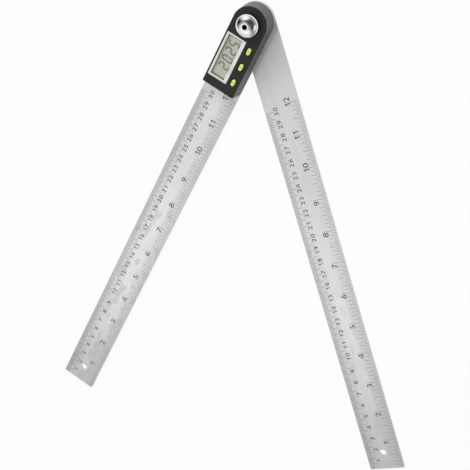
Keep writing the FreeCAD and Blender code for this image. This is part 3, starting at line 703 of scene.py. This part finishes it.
def oblong(sides, grow, z, rounding, steps=4):
    """The outline of a rectangle with small round corners, grown or shrunk on each side."""
    left, right, low, high = sides
    inset = rounding - grow
    ring = []
    for turn, x, y in ((0, right - inset, high - inset), (90, left + inset, high - inset),
                       (180, left + inset, low + inset), (270, right - inset, low + inset)):
        for i in range(steps + 1):
            angle = math.radians(turn + 90 * i / steps)
            ring.append((x + rounding * math.cos(angle), y + rounding * math.sin(angle), z))
    return ring


def make_bezel(finish):
    """The pale frame in the housing's face, bevelled round the view and eased outside."""
    form = Form()
    form.loft([
        oblong(BEZEL, 0, BEZEL_SEAT, BEZEL_CORNER_R),
        oblong(BEZEL, 0, BEZEL_FRONT - BEZEL_EASE, BEZEL_CORNER_R),
        oblong(BEZEL, -BEZEL_EASE, BEZEL_FRONT, BEZEL_CORNER_R),
        oblong(VIEW, BEZEL_BEVEL, BEZEL_FRONT, VIEW_BEVEL_CORNER_R),
        oblong(VIEW, 0, BEZEL_FRONT - BEZEL_BEVEL, VIEW_CORNER_R),
        oblong(VIEW, 0, BEZEL_SEAT, VIEW_CORNER_R),
    ], closed=True)
    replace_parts(form.piece("bezel_frame", "base", finish, "bezel_plastic"), "display_bezel")


def make_pane(finish):
    """The window, with its front edge eased."""
    form = Form()
    form.loft([
        oblong(PANE, 0, PANE_BACK, PANE_CORNER_R),
        oblong(PANE, 0, PANE_FRONT - PANE_EASE, PANE_CORNER_R),
        oblong(PANE, -PANE_EASE, PANE_FRONT, PANE_CORNER_R),
    ])
    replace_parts(form.piece("window_pane", "base", finish, "window_clear"), "display_window")


# The printed scales, the same on both rulers, with zero at the free end
RULER_SIDE = 14.3
TICK_WIDTH = 0.23
TICK_INSET = 0.15
TICK_BACK = 0.02
TICK_PROUD = 0.012
MM_TICKS = {1: 4.1, 5: 6.9, 10: 6.9}
MM_COUNT = 300
INCH_TICKS = {1: 3.8, 2: 5.9, 4: 7.1, 8: 8.6, 16: 11.4}
INCH_PARTS = 16
INCH_COUNT = 12
CM_FIGURE = (-5.4, 3.45)
INCH_FIGURE = (5.15, 4.45)
FIGURE_WIDEN_SHARE = 1.25
FIGURE_BOLD_SHARE = 0.006
ONE_FIGURE_OFFSET = -2.5
CM_PAIR_OFFSETS = (-1.8, 1.85)
INCH_PAIR_OFFSETS = (-1.75, 2.35)


# A flagged one and an open four, as points and faces one unit tall
DRAWN_FIGURES = {
    "1": ([(0.20, 0.0), (0.34, 0.0), (0.34, 1.0), (0.20, 1.0), (0.20, 0.80), (0.0, 0.62), (0.0, 0.78)],
          [[0, 1, 2, 3, 4], [4, 3, 6, 5]]),
    "4": ([(0.50, 0.0), (0.64, 0.0), (0.64, 0.22), (0.50, 0.22), (0.78, 0.22), (0.78, 0.35), (0.64, 0.35),
           (0.50, 0.35), (0.64, 1.0), (0.50, 1.0), (0.50, 0.86), (0.47, 1.0), (0.0, 0.33), (0.14, 0.35),
           (0.0, 0.22)],
          [[0, 1, 2, 3], [3, 2, 6, 7], [2, 4, 5, 6], [7, 6, 8, 9, 10], [10, 9, 11, 12, 13],
           [14, 3, 7, 13, 12]]),
}


def figure_meshes():
    """The ten figures as flat meshes, one unit tall, centred on zero."""
    meshes = []
    for figure in "0123456789":
        if figure in DRAWN_FIGURES:
            points, faces = DRAWN_FIGURES[figure]
            half = max(x for x, y in points) / 2
            meshes.append(([(x - half, y - 0.5) for x, y in points], faces))
            continue
        words = bpy.data.curves.new("figure", "FONT")
        words.body = figure
        words.resolution_u = 4
        words.offset = FIGURE_BOLD_SHARE
        holder = bpy.data.objects.new("figure", words)
        bpy.context.scene.collection.objects.link(holder)
        bpy.context.view_layer.update()
        flat = bpy.data.meshes.new_from_object(holder.evaluated_get(bpy.context.evaluated_depsgraph_get()))
        across = [v.co.x for v in flat.vertices]
        up = [v.co.y for v in flat.vertices]
        tall = max(up) - min(up)
        middle = ((max(across) + min(across)) / 2, (max(up) + min(up)) / 2)
        points = [((v.co.x - middle[0]) / tall, (v.co.y - middle[1]) / tall) for v in flat.vertices]
        meshes.append((points, [list(p.vertices) for p in flat.polygons]))
        bpy.data.objects.remove(holder)
        bpy.data.curves.remove(words)
        bpy.data.meshes.remove(flat)
    return meshes


def tick_length(index, lengths):
    return lengths[max(step for step in lengths if index % step == 0)]


def make_ticks():
    form = Form()
    half = TICK_WIDTH / 2
    for i in range(1, MM_COUNT + 1):
        y = i - RULER_REACH
        end = -RULER_SIDE + tick_length(i, MM_TICKS)
        form.bar(-RULER_SIDE + TICK_INSET, end, y - half, y + half, -TICK_BACK, TICK_PROUD)
    for i in range(1, INCH_COUNT * INCH_PARTS + 1):
        y = i * INCH / INCH_PARTS - RULER_REACH
        start = RULER_SIDE - tick_length(i, INCH_TICKS)
        form.bar(start, RULER_SIDE - TICK_INSET, y - half, y + half, -TICK_BACK, TICK_PROUD)
    return form


def make_figures(meshes):
    """The centimetre and inch figures, which read towards the pivot."""
    form = Form()
    for count, pitch, (x, tall), pair in ((MM_COUNT // 10, 10.0, CM_FIGURE, CM_PAIR_OFFSETS),
                                          (INCH_COUNT, INCH, INCH_FIGURE, INCH_PAIR_OFFSETS)):
        for number in range(1, count + 1):
            y = number * pitch - RULER_REACH
            digits = str(number)
            offsets = [ONE_FIGURE_OFFSET] if len(digits) == 1 else pair
            for digit, offset in zip(digits, offsets):
                points, faces = meshes[int(digit)]
                wide = tall * FIGURE_WIDEN_SHARE
                spots = [(x - up * tall, y + offset + across * wide, TICK_PROUD) for across, up in points]
                form.add(spots, faces)
    return form


def print_scales(arm, body, front, turn_deg, finish, meshes):
    for kind, form in (("ticks", make_ticks()), ("figures", make_figures(meshes))):
        form.points = [(x, y, z + front) for x, y, z in form.points]
        form.turned(turn_deg).piece(arm + "_" + kind, body, finish, "ruler_steel")


def dress(finish, *names):
    """Give carried-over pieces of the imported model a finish."""
    for name in names:
        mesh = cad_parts[name].data
        mesh.materials.clear()
        mesh.materials.append(finish.material)


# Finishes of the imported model's pieces
base_steel = brushed_steel("base_ruler_steel", 0.0, band_start=(0.0, 40.0), smudge_share=0.65)
swing_steel = brushed_steel("swing_ruler_steel", REST_ANGLE_DEG, band_start=(110.0, 230.0), smudge_share=0.3)
dress(base_steel, "base_ruler")
dress(swing_steel, "swing_ruler")
dress(housing_moulding("housing_black"), "housing_cover")
dress(moulded_plastic("cover_black", COVER_BLACK, texture=0.25), "battery_cover")
dress(moulded_plastic("holder_black", COVER_BLACK, texture=0.5, depth=0.01, roughness=0.4), "battery_holder")
dress(display_glass("display_green", LCD_GREEN), "lcd_panel")
dress(moulded_plastic("connector_pink", CONNECTOR_PINK, texture=0.2, depth=0.01, roughness=0.6),
      "zebra_strips")
dress(coated_laminate("board_green", BOARD_GREEN), "circuit_board")
dress(coated_laminate("rotor_green", ROTOR_GREEN), "encoder_rotor")
dress(moulded_plastic("potting_black", POTTING_BLACK, texture=0.8, roughness=0.3), "controller_chip")
dress(moulded_plastic("switch_black", SWITCH_BLACK, texture=0.2, depth=0.01), "key_switches")
dress(moulded_plastic("washer_white", NYLON_WHITE, depth=0.006, roughness=0.4), "friction_washer")
dress(plated_metal("board_screw_zinc", BOARD_SCREW_ZINC), "board_screws")
dress(turned_metal("bush_bronze", BRONZE), "pivot_bush")
dress(turned_metal("shaft_steel", SHAFT_STEEL), "pivot_shaft", "pressure_washer")
dress(plated_metal("spring_steel", SPRING_STEEL), "spring_washer", "retaining_clip")
dress(turned_metal("cell_steel", CELL_NICKEL, CELL_CENTRE), "coin_cell")
dress(plated_metal("contact_gold", CONTACT_GOLD), "cell_contact_minus", "cell_contact_plus")

# Pieces made here
make_knob(chrome_plate("knob_chrome"))
make_bore(plated_metal("bore_black", BORE_BLACK, roughness=0.5))
# The skirts' finish is painted shade
key_finishes = [key_rubber("key_lime", LIME), key_rubber("key_mark_lime", MARK_LIME),
                key_rubber("key_skirt_painted_shade", SKIRT_PAINTED_SHADE)]
for index, name in enumerate(KEY_NAMES):
    make_key(name, KEY_FIRST_Y - index * KEY_PITCH, *key_finishes)
make_screws(plated_metal("housing_screw_zinc", HOUSING_SCREW_ZINC))
make_readout(display_glass("figure_dark", LCD_FIGURE))
# Painted shade round the display's view
make_view_edge(display_glass("view_painted_shade", LCD_PAINTED_SHADE))
make_bezel(moulded_plastic("bezel_pale", BEZEL_GREY, texture=0.4, depth=0.004, roughness=0.34))
make_pane(clear_pane("pane_clear"))
ink = printed_ink("scale_ink", INK)
digit_meshes = figure_meshes()
print_scales("base", "base", BASE_FRONT, 0.0, ink, digit_meshes)
print_scales("swing", "swing_arm", SWING_FRONT, REST_ANGLE_DEG, ink, digit_meshes)

# Floor, light and camera
FLOOR_Z = -0.3
FLOOR_HALF = 3000.0
FLOOR_GLOW_SHARE = 0.93
SKY_LEVEL = 0.6
STUDIO_BASE = 0.34
STUDIO_DARKEST = 0.04
# Azimuth, tilt from overhead, reach and soft edge in degrees, and gain
STUDIO = [
    (257.0, 59.0, 57.0, 28.0, 0.46),
    (258.0, 32.0, 28.0, 20.0, 0.32),
    (150.0, 61.0, 44.0, 26.0, 0.66),
    (146.0, 47.0, 15.0, 9.0, 0.6),
    (9.0, 58.0, 24.0, 10.0, 0.56),
    (58.0, 11.0, 46.0, 22.0, -0.27),
    (197.0, 63.0, 36.0, 24.0, -0.55),
]
LAMP_PLACE = (-588.0, 430.0, 528.0)
LAMP_AIM = (40.0, -140.0, 0.0)
LAMP_SIZE = 500.0
LAMP_POWER = 4.6
CAMERA_PLACE = (184.589, 280.633, 737.996)
CAMERA_TURN_DEG = (-22.810286, 22.656373, 26.696276)
CAMERA_LENS = 85.503


def make_floor():
    """Pale floor that shows white from above and still takes a soft shadow."""
    floor = Finish("floor_white", Roughness=0.9)
    grain = floor.noise(2.0, detail=3.0)
    floor.set("Base Color", floor.mix(grain, shade(FLOOR_WHITE, 0.98), FLOOR_WHITE))
    paint = Reading(floor, floor.shader.outputs[0])
    glow = floor.node("ShaderNodeEmission", None, {"Color": (1, 1, 1), "Strength": 1.0})
    share = floor.rays("Camera", "Glossy", "Transmission") * FLOOR_GLOW_SHARE
    floor.feed(floor.surface, floor.node("ShaderNodeMixShader", None, {0: share, 1: paint, 2: glow}))
    half = FLOOR_HALF
    corners = [(-half, -half, FLOOR_Z), (half, -half, FLOOR_Z), (half, half, FLOOR_Z), (-half, half, FLOOR_Z)]
    mesh = bpy.data.meshes.new("floor")
    mesh.from_pydata([[c * MM for c in corner] for corner in corners], [], [[0, 1, 2, 3]])
    mesh.materials.append(floor.material)
    made = bpy.data.objects.new("floor", mesh)
    bpy.context.scene.collection.objects.link(made)


def make_sky():
    """White to the eye, with soft lights and dark cards where metal reflects it."""
    world = bpy.data.worlds.new("studio")
    bpy.context.scene.world = world
    world.use_nodes = True
    sky = Nodes(world.node_tree)
    towards = sky.node("ShaderNodeTexCoord", output="Generated")
    shine = STUDIO_BASE
    for azimuth, tilt, reach, edge, gain in STUDIO:
        turn = Matrix.Rotation(math.radians(azimuth), 3, "Z") @ Matrix.Rotation(math.radians(tilt), 3, "Y")
        aim = turn @ Vector((0, 0, 1))
        near = sky.node("ShaderNodeVectorMath", {"operation": "DOT_PRODUCT"}, {0: towards, 1: aim}, "Value")
        outside = math.cos(math.radians(reach))
        inside = math.cos(math.radians(reach - edge))
        shine = near.step(outside, inside) * gain + shine
    shine = shine.maths("MAXIMUM", shine, STUDIO_DARKEST)
    seen = sky.rays("Camera")
    sent = sky.rays("Glossy", "Transmission")
    level = seen.between(sent.between(SKY_LEVEL, shine), 1.0)
    light = sky.node("ShaderNodeBackground", None, {"Color": (1, 1, 1), "Strength": level})
    output = world.node_tree.nodes.new("ShaderNodeOutputWorld")
    sky.feed(output.inputs["Surface"], light)


def make_lamp():
    """One large soft lamp. Metal mirrors the studio's patches instead of it."""
    data = bpy.data.lights.new("soft_lamp", "AREA")
    data.size = LAMP_SIZE * MM
    data.energy = LAMP_POWER
    lamp = bpy.data.objects.new("soft_lamp", data)
    lamp.location = [c * MM for c in LAMP_PLACE]
    lamp.visible_glossy = False
    aim = Vector(LAMP_PLACE) - Vector(LAMP_AIM)
    lamp.rotation_euler = aim.to_track_quat("Z", "Y").to_euler()
    bpy.context.scene.collection.objects.link(lamp)


def make_camera():
    data = bpy.data.cameras.new("camera")
    data.sensor_width = 36.0
    data.lens = CAMERA_LENS
    camera = bpy.data.objects.new("camera", data)
    camera.location = [c * MM for c in CAMERA_PLACE]
    camera.rotation_euler = [math.radians(a) for a in CAMERA_TURN_DEG]
    bpy.context.scene.collection.objects.link(camera)
    bpy.context.scene.camera = camera


make_floor()
make_sky()
make_lamp()
make_camera()
bpy.context.scene.view_settings.view_transform = "Standard"
